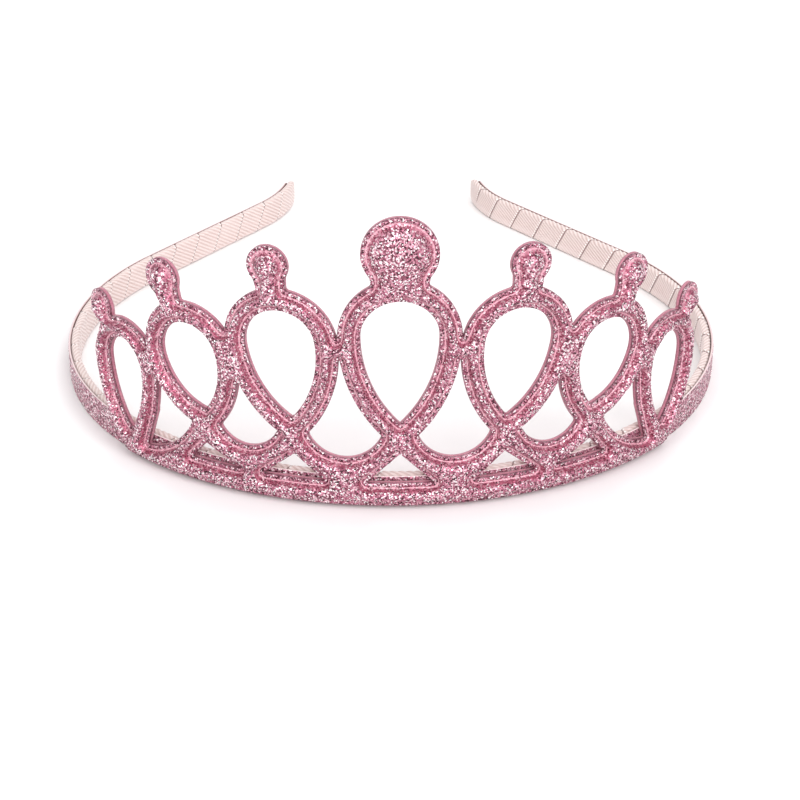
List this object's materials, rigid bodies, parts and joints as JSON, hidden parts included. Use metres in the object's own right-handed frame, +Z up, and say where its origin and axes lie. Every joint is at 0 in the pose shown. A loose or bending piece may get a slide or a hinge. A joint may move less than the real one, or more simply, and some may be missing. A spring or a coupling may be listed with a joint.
{
  "type": "crown headband",
  "caption": "Horseshoe hairband wrapped in pale ribbon, with a pink glitter strip and a padded, pierced loop crown standing on its front.",
  "frame": {"origin": "under the middle of the whole headband's box, on the surface that the band's lower edge rests on", "axes": "+X to the right seen from the front, +Y from the crown back to the tips of the band, +Z up"},
  "size_m": [0.125, 0.148, 0.0524],
  "materials": {
    "ribbon": "satin",
    "glitter": "satin",
    "felt": "matte"
  },
  "bodies": {
    "root": {"wrapped_band": "ribbon", "glitter_strip": "glitter", "crown_backing": "felt", "crown_face": "glitter"}
  },
  "joints": []
}
